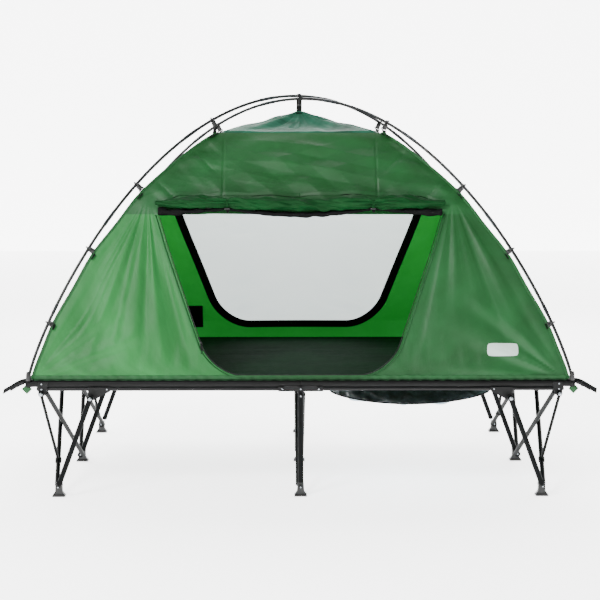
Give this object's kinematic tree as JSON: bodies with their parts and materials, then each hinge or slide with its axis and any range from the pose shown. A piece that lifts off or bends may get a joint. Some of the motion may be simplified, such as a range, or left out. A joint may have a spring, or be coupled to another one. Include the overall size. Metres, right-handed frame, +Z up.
{
  "type": "double tent cot",
  "caption": "Folding steel cot frame with crossing leg bars on round feet pads, a fabric deck, and a green dome tent with a rolled door, mesh window and two crossing arched poles.",
  "frame": {"origin": "on the ground under the middle of the deck", "axes": "+X to the right along the deck's length, +Y away from the door, +Z up"},
  "size_m": [2.27, 1.428, 1.5545],
  "materials": {
    "black_steel_tube": "satin black powder coat",
    "black_steel_plate": "satin black powder coat",
    "leg_steel": "semi-gloss black powder coat",
    "foot_plastic": "moulded black nylon",
    "zinc_rivet": "bright zinc plate",
    "deck_fabric": "coated black polyester sleeves with a dark green floor",
    "web": "woven polypropylene web",
    "fibreglass_pole": "smooth dark grey fibreglass",
    "clip_plastic": "moulded black acetal",
    "green_taffeta": "satin green nylon taffeta",
    "window_mesh": "fine white mesh",
    "net": "open black net"
  },
  "bodies": {
    "root": {"centre_brackets": "black_steel_plate", "centre_posts": "leg_steel", "centre_bars": "leg_steel", "centre_feet": "foot_plastic", "centre_pins": "zinc_rivet", "deck_centre": "deck_fabric"},
    "left_half": {"rail_front_left": "black_steel_tube", "rail_middle_left": "black_steel_tube", "rail_back_left": "black_steel_tube", "rail_end_left": "black_steel_tube", "lower_rails_left": "black_steel_tube", "corner_brackets_left": "black_steel_plate", "stay_brackets_left": "black_steel_plate", "rivets_left": "zinc_rivet", "deck_left": "deck_fabric", "corner_tabs_left": "web", "pole_front_left": "fibreglass_pole", "pole_back_left": "fibreglass_pole", "pole_clips_left": "clip_plastic", "wall_front_left": "green_taffeta", "wall_back_left": "green_taffeta", "wall_end_left": "green_taffeta", "roof_cap_left": "green_taffeta", "window_left": "window_mesh", "door_roll_left": "green_taffeta"},
    "right_half": {"rail_front_right": "black_steel_tube", "rail_middle_right": "black_steel_tube", "rail_back_right": "black_steel_tube", "rail_end_right": "black_steel_tube", "lower_rails_right": "black_steel_tube", "corner_brackets_right": "black_steel_plate", "stay_brackets_right": "black_steel_plate", "rivets_right": "zinc_rivet", "deck_right": "deck_fabric", "corner_tabs_right": "web", "pole_front_right": "fibreglass_pole", "pole_back_right": "fibreglass_pole", "pole_clips_right": "clip_plastic", "wall_front_right": "green_taffeta", "wall_back_right": "green_taffeta", "wall_end_right": "green_taffeta", "roof_cap_right": "green_taffeta", "window_right": "window_mesh", "door_roll_right": "green_taffeta", "gear_net": "net"},
    "left_legs": {"leg_shaft_left": "leg_steel", "leg_bars_left": "leg_steel", "corner_links_left": "leg_steel", "feet_left": "foot_plastic", "foot_pins_left": "zinc_rivet"},
    "right_legs": {"leg_shaft_right": "leg_steel", "leg_bars_right": "leg_steel", "corner_links_right": "leg_steel", "feet_right": "foot_plastic", "foot_pins_right": "zinc_rivet"},
    "left_stays": {"stay_shaft_left": "leg_steel", "stays_left": "leg_steel"},
    "right_stays": {"stay_shaft_right": "leg_steel", "stays_right": "leg_steel"}
  },
  "joints": [
    {"name": "left_half_fold", "type": "hinge", "parent": "root", "child": "left_half", "pos_m": [-0.069, 0, 0.416], "axis": [0, 1, 0], "range_deg": [0, 90], "deforming": ["wall_front_left", "wall_back_left", "wall_end_left", "roof_cap_left", "window_left", "door_roll_left", "pole_front_left", "pole_back_left", "pole_clips_left", "deck_centre"]},
    {"name": "left_leg_fold", "type": "hinge", "parent": "left_half", "child": "left_legs", "pos_m": [-0.985, 0, 0.4], "axis": [0, -1, 0], "range_deg": [0, 66]},
    {"name": "left_stay_fold", "type": "hinge", "parent": "left_half", "child": "left_stays", "pos_m": [-0.797, 0, 0.385], "axis": [0, -1, 0], "range_deg": [0, 100]},
    {"name": "right_half_fold", "type": "hinge", "parent": "root", "child": "right_half", "pos_m": [0.069, 0, 0.416], "axis": [0, -1, 0], "range_deg": [0, 90], "deforming": ["wall_front_right", "wall_back_right", "wall_end_right", "roof_cap_right", "window_right", "door_roll_right", "pole_front_right", "pole_back_right", "pole_clips_right"]},
    {"name": "right_leg_fold", "type": "hinge", "parent": "right_half", "child": "right_legs", "pos_m": [0.985, 0, 0.4], "axis": [0, 1, 0], "range_deg": [0, 66]},
    {"name": "right_stay_fold", "type": "hinge", "parent": "right_half", "child": "right_stays", "pos_m": [0.797, 0, 0.385], "axis": [0, 1, 0], "range_deg": [0, 100]}
  ],
  "couplings": [
    {"joint": "right_half_fold", "follows": "left_half_fold", "ratio": 1},
    {"joint": "left_stay_fold", "follows": "left_leg_fold", "ratio": 1.5151},
    {"joint": "right_stay_fold", "follows": "right_leg_fold", "ratio": 1.5151}
  ]
}
